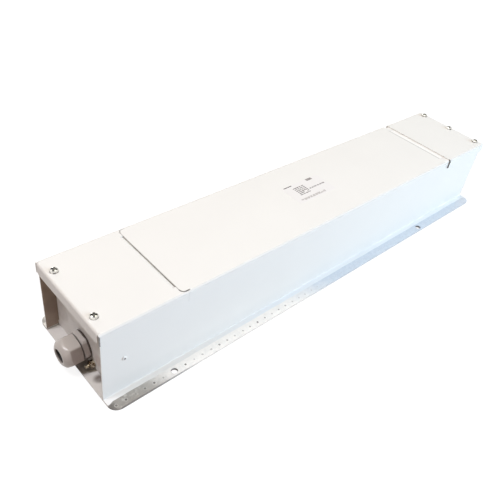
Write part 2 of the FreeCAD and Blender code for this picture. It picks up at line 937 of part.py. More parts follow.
os.makedirs("parts", exist_ok=True)
for name, shape in parts.items():
    shape.exportStep(os.path.join("parts", name + ".step"))
    print(name, len(shape.Solids), "valid", shape.isValid(), "mm3", round(shape.Volume))
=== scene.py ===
# %% [markdown]
# # Dressing a power filter in Blender
#
# The object is a long mains filter: a folded sheet-metal case with three lapped covers, a cable
# gland and an earth stud in a shallow recess at each end, and a bare zinc flange along both
# sides. The solids come from CAD and already have the right sizes, so this lesson is about
# finishes, small repeated details, light and camera.
#
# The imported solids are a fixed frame: nothing here moves them. Their box is kept, because the
# finished model may not be any bigger.

# %% Load the solids
import inspect
import json
import math
import bpy
from mathutils import Matrix, Vector


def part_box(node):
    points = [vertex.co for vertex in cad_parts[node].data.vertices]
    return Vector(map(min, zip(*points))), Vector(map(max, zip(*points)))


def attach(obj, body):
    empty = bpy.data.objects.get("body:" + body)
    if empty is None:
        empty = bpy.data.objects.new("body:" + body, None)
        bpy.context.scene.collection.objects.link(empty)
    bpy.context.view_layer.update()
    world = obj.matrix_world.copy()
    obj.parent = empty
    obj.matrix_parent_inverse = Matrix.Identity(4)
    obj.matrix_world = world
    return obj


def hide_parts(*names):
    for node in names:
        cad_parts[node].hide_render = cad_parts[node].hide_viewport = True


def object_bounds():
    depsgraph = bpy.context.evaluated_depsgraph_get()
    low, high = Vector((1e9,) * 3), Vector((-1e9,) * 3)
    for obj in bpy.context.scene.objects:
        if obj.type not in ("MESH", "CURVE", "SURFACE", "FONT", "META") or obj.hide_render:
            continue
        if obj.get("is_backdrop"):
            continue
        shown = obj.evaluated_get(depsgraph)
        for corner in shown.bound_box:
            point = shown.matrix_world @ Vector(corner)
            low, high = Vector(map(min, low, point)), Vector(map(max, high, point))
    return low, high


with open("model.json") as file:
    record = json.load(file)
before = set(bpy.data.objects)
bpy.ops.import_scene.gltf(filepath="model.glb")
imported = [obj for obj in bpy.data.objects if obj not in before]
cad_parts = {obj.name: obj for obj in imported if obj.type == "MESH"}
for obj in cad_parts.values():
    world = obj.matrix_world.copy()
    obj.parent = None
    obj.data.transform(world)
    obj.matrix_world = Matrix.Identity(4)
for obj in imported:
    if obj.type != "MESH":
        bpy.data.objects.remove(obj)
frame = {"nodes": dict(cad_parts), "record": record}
cad_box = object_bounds()
mm = 0.001
cad_size = [round((high - low) / mm, 1) for low, high in zip(*cad_box)]
print(len(frame["nodes"]), "solids loaded, box in mm:", cad_size)

# %% [markdown]
# ## Wires that do arithmetic
#
# A material is a graph of nodes, and a script links the output of one node to the input of the
# next. The class below wraps an output as a wire that works like a number: each sign of
# arithmetic adds a maths node, so a formula in this lesson is a piece of node graph.

# %% Wires
class Wire:
    """An output of a node."""

    def __init__(self, socket):
        self.socket = socket

    def __add__(self, other):
        return maths("ADD", self, other)

    def __sub__(self, other):
        return maths("SUBTRACT", self, other)

    def __rsub__(self, other):
        return maths("SUBTRACT", other, self)

    def __mul__(self, other):
        return maths("MULTIPLY", self, other)

    def __truediv__(self, other):
        return maths("DIVIDE", self, other)

    def __rtruediv__(self, other):
        return maths("DIVIDE", other, self)

    def __abs__(self):
        return maths("ABSOLUTE", self)


# %% Helpers that add a node
class Outputs:
    """The outputs of a node, by name or number, as wires."""

    def __init__(self, node):
        self.node = node

    def __getitem__(self, name):
        return Wire(self.node.outputs[name])


def fill(socket, value):
    """Links the socket if the value is a wire, and sets it otherwise."""
    if isinstance(value, Wire):
        socket.id_data.links.new(value.socket, socket)
    else:
        socket.default_value = value


def tree_of(values):
    """The tree of the first wire among the values."""
    return next(value.socket.id_data for value in values if isinstance(value, Wire))


def add(kind, inputs, tree=None, **settings):
    """Adds a node, with inputs by name or number, to the tree of its wires; gives its outputs."""
    node = (tree or tree_of(inputs.values())).nodes.new(kind)
    for name, value in settings.items():
        setattr(node, name, value)
    for name, value in inputs.items():
        fill(node.inputs[name], value)
    return Outputs(node)


# %% [markdown]
# More helpers work on wires. Most make masks: values from 0 to 1 that say where on the object
# something shows.

# %% Helpers for maths and masks
def maths(operation, first, second=0.0):
    return add("ShaderNodeMath", {0: first, 1: second}, operation=operation)[0]


def most(first, second):
    """The larger of two values."""
    return maths("MAXIMUM", first, second)


def mask(value, start, end):
    """0 where the value is at start, 1 where it is at end, and a soft step between."""
    inputs = {"Value": value, "From Min": start, "From Max": end}
    return add("ShaderNodeMapRange", inputs, interpolation_type="SMOOTHSTEP")[0]


def near(value, middle, reach, soft):
    """1 where the value is within reach of the middle, 0 farther away than reach and soft."""
    return mask(abs(value - middle), reach + soft, reach)


# %% Helpers for mixes and places
def between(share, first, second):
    """A number that goes from first to second as share goes from 0 to 1."""
    return add("ShaderNodeMix", {0: share, 2: first, 3: second})[0]


def blend(share, first, second):
    """The same for colours."""
    return add("ShaderNodeMix", {0: share, 6: first, 7: second}, data_type="RGBA")[2]


def axes_of(place):
    """The X, Y and Z of a place."""
    parts = add("ShaderNodeSeparateXYZ", {0: place})
    return parts[0], parts[1], parts[2]


def vector_maths(operation, first, second):
    """Arithmetic with whole vectors; a distance is a number."""
    made = add("ShaderNodeVectorMath", {0: first, 1: second}, operation=operation)
    return made["Value" if operation == "DISTANCE" else "Vector"]


# %% Helpers for colours
def tone(red, green, blue):
    """A screen colour, 0 to 255, as the linear colour that shaders work in."""
    shares = [channel / 255 for channel in (red, green, blue)]
    return tuple(((s + 0.055) / 1.055) ** 2.4 if s > 0.04045 else s / 12.92 for s in shares) + (1.0,)


def darker(colour, share):
    return tuple(channel * share for channel in colour[:3]) + (1.0,)


print("mid grey 128 is", round(tone(128, 128, 128)[0], 3), "in linear light")

# %% [markdown]
# ## Effects that several finishes share
#
# A real surface is never one flat colour. The effects below are node groups, built once with
# named inputs and placed in several materials with different values. They put out only colours,
# masks and heights; the shader stays in the material, where the export can read it.
#
# Each group is written as a function of wires, and a decorator makes the node group of it. All
# read a place in metres on the object, so grain keeps its real size on every piece.

# %% A decorator that makes a group of a function
origin, white = (0.0, 0.0, 0.0), (1.0, 1.0, 1.0, 1.0)


def inputs_of(function):
    """The names of a function's inputs, and their defaults."""
    return {name: part.default for name, part in inspect.signature(function).parameters.items()}


def tree_from(function, tree_kind, kinds):
    """A node tree with named inputs, and what the function makes of their wires."""
    tree = bpy.data.node_groups.new(function.__name__, tree_kind)
    for name, kind in kinds.items():
        tree.interface.new_socket(name, in_out="INPUT", socket_type="NodeSocket" + kind)
    given = Outputs(tree.nodes.new("NodeGroupInput"))
    print(tree.name, "takes", list(kinds))
    return tree, function(*(given[name] for name in inputs_of(function)))


def group(function):
    """Makes a node group of a function of wires; calling its name then places it in a tree."""
    inputs = inputs_of(function)
    kinds = {name: "Float" if isinstance(value, float) else {3: "Vector", 4: "Color"}[len(value)]
             for name, value in inputs.items()}
    tree, results = tree_from(function, "ShaderNodeTree", kinds)
    for name in results:
        kind = "Color" if name == "colour" else "Float"
        tree.interface.new_socket(name, in_out="OUTPUT", socket_type="NodeSocket" + kind)
    add("NodeGroupOutput", results)

    def placed(*values, **named):
        filled = {**inputs, **dict(zip(inputs, values)), **named}
        outputs = add("ShaderNodeGroup", filled, node_tree=tree)
        wires = [outputs[name] for name in results]
        return wires if len(wires) > 1 else wires[0]
    return placed


# %% Textures that the groups are made of
def noise(place, size, detail=2.0, roughness=0.5):
    """Cloudy noise whose blobs are about size metres across."""
    inputs = {"Vector": place, "Scale": 1.0 / size, "Detail": detail, "Roughness": roughness}
    return add("ShaderNodeTexNoise", inputs)["Fac"]


def cells(place, size):
    """How far a cell's middle is, and a random number for each cell, from a Voronoi texture."""
    made = add("ShaderNodeTexVoronoi", {"Vector": place, "Scale": 1.0 / size})
    return made["Distance"], add("ShaderNodeSeparateColor", {0: made["Color"]})[0]


def wander(place, size, reach):
    """A smooth random number within about half the reach of 0."""
    return (noise(place, size) - 0.5) * reach


# %% [markdown]
# **Mottle** is the slow change of tone that paint, rubber and plating all show. **Orange peel**
# is the faint, even ripple of baked powder paint, about 2 mm from wave to wave: a height, for
# bump, and a change of gloss that goes with it.

# %% Mottle and orange peel
@group
def mottle(place=origin, colour=white, size=0.03, amount=0.03):
    gain = (noise(place, size, 3.0) - 0.5) * amount + 1.0
    return {"colour": vector_maths("MULTIPLY", colour, gain)}


@group
def orange_peel(place=origin, size=0.002, gloss=0.4, change=0.1):
    ripple = noise(place, size, 1.0)
    return {"roughness": (ripple - 0.5) * change + gloss, "height": ripple}


# %% [markdown]
# ** Specks** are the dust in baked paint and the nibs on moulded plastic: tiny dots, far apart, each
# in the middle of a cell. **Grime and shade** darkens what a mask marks, never evenly: real grime,
# and painted shade in seams, rims of holes and the cross in a screw head.

# %% Specks, and grime and shade
@group
def specks(place=origin, spacing=0.012, size=0.0005, share=0.3):
    distance, lot = cells(place, spacing)
    dot = mask(distance / (size / spacing), 1.0, 0.5)
    return {"dots": dot * maths("LESS_THAN", lot, share)}


@group
def settled_dirt(place=origin, colour=white, dirt=white, where=0.0, amount=0.9):
    uneven = between(mask(noise(place, 0.006, 3.0), 0.3, 0.7), 0.75, 1.0)
    return {"colour": blend(where * amount * uneven, colour, dirt)}


# %% [markdown]
# **Spangle** is the pattern of crystals on hot-dipped zinc: cells with random values, whose edges
# are crooked because noise pushes the place about first. **Grain** is the fine, sharp texture of
# plastic, rubber and resin. **Hairlines** are marks of turning and drawing on metal: noise drawn
# out along one direction.

# %% Spangle, grain and hairlines
@group
def spangle(place=origin, size=0.003, light=white, dark=white):
    crystal = cells(vector_maths("ADD", place, wander(place, size, size)), size)[1]
    return {"colour": blend(crystal, dark, light), "roughness": between(crystal, 0.34, 0.46),
            "height": crystal}


@group
def grain(place=origin, size=0.0006, gloss=0.5, change=0.15):
    speckle = noise(place, size, 4.0, 0.65)
    return {"roughness": (speckle - 0.5) * change + gloss, "height": speckle}


@group
def hairlines(place=origin, stretch=(1.0, 12.0, 12.0), width=0.004, gloss=0.3, change=0.2):
    streaks = noise(vector_maths("MULTIPLY", place, stretch), width, 5.0, 0.6)
    return {"roughness": (streaks - 0.5) * change + gloss, "height": streaks,
            "streaks": mask(streaks, 0.45, 0.7)}


# %% [markdown]
# ## Materials
#
# Each material starts with a Principled shader and its Object coordinates. Colours and gloss that
# never change are set on the shader's own sockets. Only what varies is linked, and a Bump node
# turns a height into a tilt of the surface.

# %% Helpers that start and finish a material
finishes = {}


def new_material(title, colour, roughness, metallic=0.0, specular=0.5):
    """Starts a material; gives it and the wire with the place on the object."""
    material = bpy.data.materials.new(title)
    material.use_nodes = True
    material.diffuse_color = colour
    shader = material.node_tree.nodes["Principled BSDF"].inputs
    fixed = {"Base Color": colour, "Roughness": roughness, "Metallic": metallic,
             "Specular IOR Level": specular}
    for name, value in fixed.items():
        fill(shader[name], value)
    finishes[title] = material
    return material, add("ShaderNodeTexCoord", {}, material.node_tree)["Object"]


def shade(material, colour, roughness=None, height=None, depth=0.0, strength=1.0, metallic=None):
    """Links what varies to the shader; the height is depth metres from lowest to highest."""
    tree = material.node_tree
    varied = {"Base Color": colour, "Roughness": roughness, "Metallic": metallic}
    if height:
        bumps = {"Height": height, "Distance": depth, "Strength": strength}
        varied["Normal"] = add("ShaderNodeBump", bumps)[0]
    for name, wire in varied.items():
        if wire:
            fill(tree.nodes["Principled BSDF"].inputs[name], wire)
    print(material.name, "has", len(tree.nodes), "nodes")


def hollow_of(material):
    """The wire that says how deep in a hollow of its mesh a point lies."""
    return add("ShaderNodeAttribute", {}, material.node_tree, attribute_name="hollow")["Fac"]


# %% [markdown]
# ### Powder paint
#
# Case and covers are painted pale grey: a mottle, the orange peel and a few specks. Painted shadow
# lies in the seams between the covers, and the line turns round the corners of the near seam; it
# also fills the side gap at the far seam and the slot at the near lip. Where the middle cover steps
# down under the far one, a painted highlight makes the step pale and painted shade marks a faint
# fold at the bend, and the far cover's cut edge gets a little painted shade. Along the bends at the
# sides painted shade tones down the highlight. All of these are masks of X, Y and Z.

# %% Powder paint, and where the covers meet, in metres
paint_tone, dirt_tone = tone(236, 234, 230), tone(84, 77, 70)
paint_gloss, paint_relief = 0.42, (0.00006, 0.5)
cover_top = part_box("near_cover")[1].z
near_seam, far_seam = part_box("middle_cover")[0].x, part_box("far_cover")[0].x
step_line = far_seam - 0.0107
seam_half, seam_corner = 0.0624, 0.0054
print("seams at", round(near_seam / mm, 1), "and", round(far_seam / mm, 1), "mm")


def powder_painted(title):
    """Starts a painted finish; gives it, the place, and the paint's colour, gloss and height."""
    material, place = new_material(title, paint_tone, paint_gloss, specular=0.4)
    soft = mottle(place, paint_tone, size=0.09, amount=0.05)
    nibs = specks(place, spacing=0.011, size=0.0004)
    gloss, height = orange_peel(place, gloss=paint_gloss, change=0.16)
    return material, place, blend(nibs * 0.35, soft, dirt_tone), gloss, height


def dirtied(place, colour, *layers):
    """The colour darkened in layers of (mask, tone, amount): painted shade, dark joints and darker edges.
    """
    for where, dirt, amount in layers:
        colour = settled_dirt(place, colour, dirt, where, amount)
    return colour


# %% The lines that the covers show
cover_paint, place, paint, gloss, height = powder_painted("cover_paint")
x, y, z = axes_of(place)
out = abs(y)
right_side, leftward = mask(y, 0.01, -0.01), mask(y, -0.06, 0.06)
below_top = mask(z, cover_top - 0.0003, cover_top - 0.0007)
on_flat, inside_bend = mask(out, 0.0508, 0.0504), mask(out, 0.0632, 0.0628)

# Painted shadow along the near seam and round its corners, and in the gap below its edge.
past_corner = most(out - (seam_half - seam_corner), 0.0)
before_corner = most(near_seam + seam_corner - 0.0002 - x, 0.0)
from_middle = maths("SQRT", past_corner * past_corner + before_corner * before_corner)
at_corner = between(mask(out, 0.0550, 0.0580), 0.3, 1.0)
line_end = between(mask(y, 0.050, 0.045), near_seam + 0.002, near_seam + 0.009)
near_line = (near(from_middle, seam_corner, 0.0006, 0.0004) * mask(x - line_end, 0.002, 0.0)
             * at_corner * between(leftward, 1.0, 0.5))
in_gap = below_top * near(x, near_seam, 0.0006, 0.0004) * inside_bend * between(leftward, 0.85, 0.7)

# Painted shadow in the side gap at the far seam and in the slot at the near lip.
side_mark = near(x, far_seam, 0.0007, 0.0003) * mask(out, 0.0615, 0.0625) * right_side
lip_slot = mask(x, -0.3660, -0.3664) * mask(out, 0.0632, 0.0636) * mask(z, 0.1066, 0.1058) * right_side
# A painted highlight on the step under the far cover, and painted shade along the fold, on the far
# cover's cut edge and on the side bends.
step = below_top * on_flat * near(x, far_seam - 0.0055, 0.0024, 0.0008)
crease = near(x, step_line, 0.0009, 0.0006) * on_flat
far_edge = near(x, far_seam, 0.0004, 0.0003) * mask(out, 0.0625, 0.0615)
side_bend = near(out, 0.0640, 0.0009, 0.0008) * mask(z, 0.1048, 0.1060)

# %% The cover paint
# Painted shade tones down the highlight on the side bends and a painted highlight lightens the step;
# layers of painted shade and shadow follow.
paint = blend(side_bend * 0.8, paint, tone(218, 215, 211))
paint = blend(step, paint, tone(246, 245, 242))
paint = dirtied(place, paint, (most(crease, far_edge * 0.2), tone(140, 133, 126), 0.42),
                (most(near_line, in_gap), dirt_tone, 0.9),
                (most(side_mark, lip_slot), tone(52, 50, 50), 0.95))
shade(cover_paint, paint, gloss, height, *paint_relief)

# %% [markdown]
# ### Paint that ends on the foot
#
# The paint of the walls runs round the bend on to the foot and stops about 7 mm out, where the
# bare zinc begins. Both lie on one sheet, so one material holds both, and a mask made from the
# distance to the middle of the case chooses between them. The paint's edge wanders a little.
# Painted reflections make the bare metal of the right foot dull and grey at the near end, bright in
# the middle and bluish towards the far end; the left foot is bright, and bluish towards the far end.

# %% The mask of the painted part
foot_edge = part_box("base_plate")[1].y
wall_face, paint_edge, paint_flare = 0.063, 0.0702, 0.0026
flare_start, flare_end = 0.357, 0.3655
case_paint, place, paint, gloss, height = powder_painted("case_paint")
x, y, z = axes_of(place)
out = abs(y)
edge = wander(place, 0.02, 0.0014) + mask(abs(x), flare_start, flare_end) * paint_flare + paint_edge
painted = mask(out - edge, 0.0004, -0.0001)
print("paint stops", round((paint_edge - wall_face) / mm, 1), "mm out from the wall")


# %% The bare zinc beside it
dull_end, bright_start = -0.350, -0.272
blue_start, blue_end = -0.11, -0.01
# Painted reflections: the zinc's tones where it looks dull, bright and bluish.
zinc_tones = (
    (tone(165, 160, 153), tone(255, 251, 247), tone(216, 225, 236)),
    (tone(154, 149, 143), tone(247, 244, 240), tone(206, 216, 228)),
)


def zinc_colours(place):
    """The spangle's light and dark tones, with painted reflections along the flange: dull, bright, blue.
    """
    x, y, z = axes_of(place)
    along = x + wander(place, 0.03, 0.03) - (abs(y) - 0.07) * 1.2
    rubbed = mask(noise(place, 0.007), 0.54, 0.72) * 0.3
    fresh = most(most(mask(along, dull_end, bright_start), mask(y, -0.01, 0.01)), rubbed)
    blued = mask(along, blue_start, blue_end)
    return [blend(blued, blend(fresh, dull, bright), blue) for dull, bright, blue in zinc_tones]


zinc, zinc_gloss, zinc_height = spangle(place, 0.003, *zinc_colours(place))

# %% [markdown]
# The same sheet has darker places: painted shade on the walls of the holes, a darker cut outer edge
# with the joint of the two sheets, and, in the recess, brown painted shade on the inner faces of the
# walls and painted shadows in its corners. The CAD record says where the holes are.

# %% Masks of the holes and of the cut edge
holes = next(mount for mount in frame["record"]["mounts"] if mount["kind"] == "bolt_pattern")
hole_radius = holes["dims"]["hole_r_mm"] * mm
hole_y = holes["dims"]["spacing_y_mm"] * mm / 2
hole_xs = [holes["pos_m"][0] + side * holes["dims"]["spacing_x_mm"] * mm / 2 for side in (-1, 1)]
print("holes at x", [round(x_mid / mm, 1) for x_mid in hole_xs], "and y", round(hole_y / mm, 1), "mm")

# Painted shade on the walls of the holes.
dark_places = 0.0
flat_place = add("ShaderNodeCombineXYZ", {0: x, 1: out})[0]
for x_mid in hole_xs:
    away = vector_maths("DISTANCE", flat_place, (x_mid, hole_y, 0.0))
    dark_places = most(mask(away, hole_radius + 0.0003, hole_radius + 0.0001), dark_places)
cut = mask(out, foot_edge - 0.0003, foot_edge - 0.0001)
sheet_joint = near(z, 0.0015, 0.0001, 0.0002)
# The cut edge is darker, most at the near end, with a dark line at the joint of the two sheets; the near
# tip of the foot is darker too.
cut_grime = most(sheet_joint, between(mask(x, -0.290, -0.240), 0.75, 0.15))
tip_grime = mask(x, -0.3560, -0.3625) * mask(out, 0.0712, 0.0730) * 0.75
dark_places = most(dark_places, most(cut * cut_grime, tip_grime))

# %% Masks inside the recess
# Brown painted shade on the inner faces of the walls, and painted shadow in the slot behind the near lip.
primed = near(out, wall_face - 0.0015, 0.00005, 0.00004)
slot = mask(x, -0.3655, -0.3662) * mask(z, 0.0915, 0.0925) * mask(out, 0.0605, 0.0615)
# Painted shadows: on the floor by the end plate right of the stud, on the floor under the gland, on the
# end plate right of the stud, and on the end plate near the left wall.
grime_spots = (
    ((-0.3535, -0.0355, 0.0015), 0.003, 0.0095, tone(84, 66, 54), 0.8),
    ((-0.3590, -0.0110, 0.0), 0.006, 0.0165, tone(66, 48, 34), 0.6),
    ((-0.3500, -0.0310, 0.0250), 0.003, 0.014, tone(150, 96, 80), 0.4),
    ((-0.3500, 0.0520, 0.0380), 0.014, 0.021, tone(96, 76, 68), 0.18),
)
uneven = wander(place, 0.012, 0.005)
spots = []
for middle, inner, outer, grime_tone, amount in grime_spots:
    reach = vector_maths("DISTANCE", place, middle) + uneven
    spots.append((mask(reach, outer, inner) * mask(out, 0.0622, 0.0618), grime_tone, amount))
print(len(spots), "shaded spots in the recess")

# %% The case paint
primer_tone, hole_tone, foot_tone = tone(157, 134, 116), tone(72, 68, 64), tone(235, 241, 246)
# Brown painted shade on the inner faces of the recess walls.
paint = blend(primed * 0.9, paint, primer_tone)
on_foot = mask(z, 0.0036, 0.0031)
# A bluish tone on the painted foot, growing towards the far end, is painted light from the cool lamps on
# the right.
foot_paint = blend(mask(x, -0.30, -0.05), paint_tone, foot_tone)
paint = blend(on_foot * mask(out, 0.0632, 0.0640), paint, foot_paint)
# Painted shade darkens the walls a little towards the foot, and painted shadow fills the slot and the
# spots.
splashed = mask(z, 0.028, 0.004) * (1.0 - on_foot)
paint = dirtied(place, paint, (splashed, hole_tone, 0.07), (slot, hole_tone, 1.0), *spots)
sheet = dirtied(place, blend(painted, zinc, paint), (dark_places, hole_tone, 0.9))
sheet_height = between(painted, zinc_height * 0.3, height) + painted
shade(case_paint, sheet, between(painted, zinc_gloss, gloss), sheet_height, *paint_relief,
      metallic=(1.0 - painted) * 0.7 * (1.0 - dark_places))

# %% [markdown]
# ### Metals
#
# Metals get their look from what they reflect, so they are mostly roughness: plated fasteners are
# smooth with faint turning marks, aluminium cans have long fine streaks, and copper wire is warm
# and satin under its enamel.

# %% Metal finishes
metal_relief = (0.00003, 0.4)
turned_marks = ((1.0, 6.0, 6.0), 0.002)


def metal(title, colour, roughness, stretch, width):
    material, place = new_material(title, colour, roughness, 1.0)
    gloss, height, streaks = hairlines(place, stretch, width, roughness)
    toned = mottle(place, colour, size=0.008, amount=0.08)
    shade(material, blend(streaks, toned, darker(colour, 0.8)), gloss, height, *metal_relief)


metal("plated_steel", tone(205, 203, 198), 0.30, *turned_marks)
metal("can_aluminium", tone(214, 214, 216), 0.34, (1.0, 14.0, 14.0), 0.006)
metal("terminal_brass", tone(205, 176, 112), 0.30, *turned_marks)
metal("winding_copper", tone(190, 104, 62), 0.36, (8.0, 1.0, 1.0), 0.003)

# The earth studs' metal is painted with reflections: random patches of dark brown and pale cream.
earth_brass, place = new_material("earth_brass", tone(214, 205, 184), 0.17, 1.0)
polished = mask(noise(place, 0.0018), 0.44, 0.58)
brass = blend(polished, tone(104, 82, 58), tone(236, 228, 208))
shade(earth_brass, brass, *hairlines(place, *turned_marks, 0.17)[:2], *metal_relief)

galvanised, place = new_material("galvanised_sheet", tone(190, 192, 192), 0.4, 1.0)
shade(galvanised, *spangle(place, 0.006, tone(204, 206, 207), tone(176, 178, 178)), 0.00002, 0.3)

# %% [markdown]
# ### Plastic, rubber, fibre and resin
#
# These differ mostly in grain size, gloss and tone, so one function makes them all, with painted
# shade where a mesh marks a hollow. The gland has pale dust and painted light on its upper side,
# and painted shade on its lower flats and in the gaps between its parts.

# %% Moulded and soft finishes
gland_dust, gland_low, gland_joint = tone(204, 198, 192), tone(160, 149, 143), tone(46, 36, 30)
joint_places = (0.3525, 0.0004), (0.3598, 0.0005)


def aged_gland(place, colour):
    """The colour with dust and painted light above, and painted shade on the low flats and in the gaps.
    """
    x, y, z = axes_of(place)
    along = abs(x)
    dusted = blend(mask(z, 0.026, 0.038), colour, gland_dust)
    low_flats = mask(along, 0.3745, 0.3728) * mask(z, 0.0398, 0.0375) * 0.85
    joints = most(*(near(along, middle, reach, reach) for middle, reach in joint_places))
    return settled_dirt(place, blend(low_flats, dusted, gland_low), gland_joint, joints)


def moulded(title, colour, roughness, grain_size, depth, amount=0.08, aged=None):
    """Opaque finish with a fine grain, and painted shade where the mesh's hollow attribute says so."""
    material, place = new_material(title, colour, roughness)
    gloss, height = grain(place, grain_size, roughness)
    toned = mottle(place, colour, size=0.012, amount=amount)
    nibs = specks(place, spacing=0.006, size=0.0003, share=0.25)
    worn = blend(nibs, toned, darker(colour, 0.7))
    if aged:
        worn = aged(place, worn)
    # Painted shade in the hollows that the mesh marks.
    deep = blend(hollow_of(material), worn, darker(colour, 0.15))
    shade(material, deep, gloss, height, depth, 0.6)


moulded("gland_plastic", tone(188, 181, 175), 0.3, 0.0006, 0.00003, aged=aged_gland)
moulded("seal_rubber", tone(62, 58, 55), 0.62, 0.0005, 0.00005)
moulded("washer_fibre", tone(70, 60, 52), 0.75, 0.0008, 0.00006, 0.2)
moulded("core_coating", tone(74, 92, 70), 0.55, 0.0012, 0.00008, 0.15)
moulded("saddle_plastic", tone(228, 222, 206), 0.5, 0.0008, 0.00004)

# %% [markdown]
# ### Putting the finishes on the solids
#
# The CAD record names a material slot for every solid, so one loop dresses them all.

# %% Dress every solid
def dress(piece, material):
    piece.data.materials.clear()
    piece.data.materials.append(material)


for part in frame["record"]["subparts"]:
    dress(frame["nodes"][part["node"]], finishes[part["material_slot"]])
dress(frame["nodes"]["base_plate"], case_paint)
for node in ("near_earth_washer", "near_earth_nut", "far_earth_washer", "far_earth_nut"):
    dress(frame["nodes"][node], earth_brass)

# %% [markdown]
# ## Turned shapes
#
# Screws, rivets, studs and weld marks are profiles swung round an axis. The helper builds the
# rings of points itself, which gives clean quads and closed poles. A profile point may carry a
# third number, how deep in a hollow it lies. The mesh keeps it as an attribute, so that a material
# can darken the hollow on every copy: painted shade in recesses and bores, and the burnt middle of
# a weld.

# %% A helper that turns a profile
def new_mesh(points, faces):
    mesh = bpy.data.meshes.new("shape")
    mesh.from_pydata(points, [], faces)
    return mesh


def turned(profile, sides, radius_at=None, looped=False):
    """Mesh turned about Z from (radius, height, hollow) in mm; a radius of 0 closes the end."""
    points, faces, rings, hollows = [], [], [], []
    for radius, height, *hollow in profile:
        count = sides if radius else 1
        rings.append([len(points) + side % count for side in range(sides)])
        for side in range(count):
            angle = 2 * math.pi * side / sides
            reach = (radius_at(radius, angle) if radius_at else radius) * mm
            points.append((reach * math.cos(angle), reach * math.sin(angle), height * mm))
            hollows.append(hollow[0] if hollow else 0.0)
    if looped:
        rings.append(rings[0])
    for lower, upper in zip(rings, rings[1:]):
        for side in range(sides):
            following = (side + 1) % sides
            corners = [lower[side], lower[following], upper[following], upper[side]]
            faces.append(list(dict.fromkeys(corners)))
    mesh = new_mesh(points, faces)
    mesh.attributes.new("hollow", "FLOAT", "POINT").data.foreach_set("value", hollows)
    return mesh


# %% A helper that closes a prism
def prism(outline, bottom, top, taper=1.0):
    """Closed mesh with an outline in metres for its top, and taper times as wide at its bottom."""
    count = len(outline)
    ends = (taper, bottom), (1.0, top)
    points = [(x * share, y * share, z) for share, z in ends for x, y in outline]
    faces = [list(range(count))[::-1], list(range(count, 2 * count))]
    for index in range(count):
        following = (index + 1) % count
        faces.append([index, following, count + following, count + index])
    return new_mesh(points, faces)


# %% Helpers that make, smooth and place pieces
def new_piece(title, mesh):
    piece = bpy.data.objects.new(title, mesh)
    bpy.context.scene.collection.objects.link(piece)
    return piece


def smoothed(mesh, sharp_angle=32.0):
    """Rounds the shading except across edges sharper than the angle."""
    mesh.shade_smooth()
    mesh.set_sharp_from_angle(angle=math.radians(sharp_angle))
    return mesh


def stood(mesh, node, direction):
    """Turns a mesh from up to along the case and stands it where a solid begins."""
    low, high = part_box(node)
    foot_x = high.x if direction < 0 else low.x
    foot = Matrix.Translation((foot_x, (low.y + high.y) / 2, (low.z + high.z) / 2))
    mesh.transform(foot @ Matrix.Rotation(direction * math.pi / 2, 4, "Y"))


def joins_case(piece, slot_name, *solids):
    """The finished piece takes the solids' place, which it hides, and hangs under the root. The slot name
    is not used.
    """
    if solids:
        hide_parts(*solids)
    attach(piece, "root")
    print(piece.name, "has", len(piece.data.polygons), "faces")


# %% [markdown]
# ## Geometry Nodes: one pattern, many places
#
# Five cover screws, two rivets and about a hundred weld marks are copies of three small shapes. A
# Geometry Nodes tree puts a copy on every point. The point carries the direction that its copy
# faces, and a random turn from a fixed seed is added, because no two screws stop at the same
# angle. Every tree ends by making the copies real and giving them their material, because the
# export cannot read instances.

# %% A decorator that makes a geometry tree of a function
def shape(kind, **inputs):
    """Adds a geometry node; an underscore in an input's name stands for a space."""
    spaced = {name.replace("_", " "): value for name, value in inputs.items()}
    return add("GeometryNode" + kind, spaced)[0]


def copies(pattern, **inputs):
    """A copy of the pattern on every point."""
    made = add("GeometryNodeObjectInfo", {"Object": pattern})["Geometry"]
    return shape("InstanceOnPoints", Instance=made, **inputs)


def draw(seed, low, high):
    """A random vector for every point."""
    inputs = {"Min": low, "Max": high, "Seed": seed}
    return add("FunctionNodeRandomValue", inputs, data_type="FLOAT_VECTOR")[0]


def grower(function):
    """The defaults of the function's inputs say their kinds. The tree also takes a finish."""
    kinds = {**inputs_of(function), "finish": "Material"}
    tree, made = tree_from(function, "GeometryNodeTree", kinds)
    tree.interface.new_socket("geometry", in_out="OUTPUT", socket_type="NodeSocketGeometry")
    finish = Outputs(tree.nodes["Group Input"])["finish"]
    real = shape("RealizeInstances", Geometry=made)
    add("NodeGroupOutput", {0: shape("SetMaterial", Geometry=real, Material=finish)})
    return tree


# %% Helpers that run a geometry tree
def settle(piece):
    """Replaces a piece's live modifiers by the plain mesh that they make."""
    graph = bpy.context.evaluated_depsgraph_get()
    mesh = bpy.data.meshes.new_from_object(piece.evaluated_get(graph), depsgraph=graph)
    piece.modifiers.clear()
    piece.data = mesh
    return piece


def grown(title, tree, mesh, **inputs):
    """A piece made by a geometry tree from a mesh, or from nothing, and named inputs."""
    piece = new_piece(title, mesh or new_mesh([], []))
    modifier = piece.modifiers.new("grow", "NODES")
    modifier.node_group = tree
    sockets = {item.name: item.identifier for item in tree.interface.items_tree if item.in_out == "INPUT"}
    for name, value in inputs.items():
        modifier[sockets[name]] = value
    return settle(piece)


def points_mesh(places, directions):
    """A mesh of loose points in metres, each with the direction that it faces."""
    mesh = new_mesh(places, [])
    facing = mesh.attributes.new("facing", "FLOAT_VECTOR", "POINT")
    facing.data.foreach_set("vector", [part for direction in directions for part in direction])
    return mesh


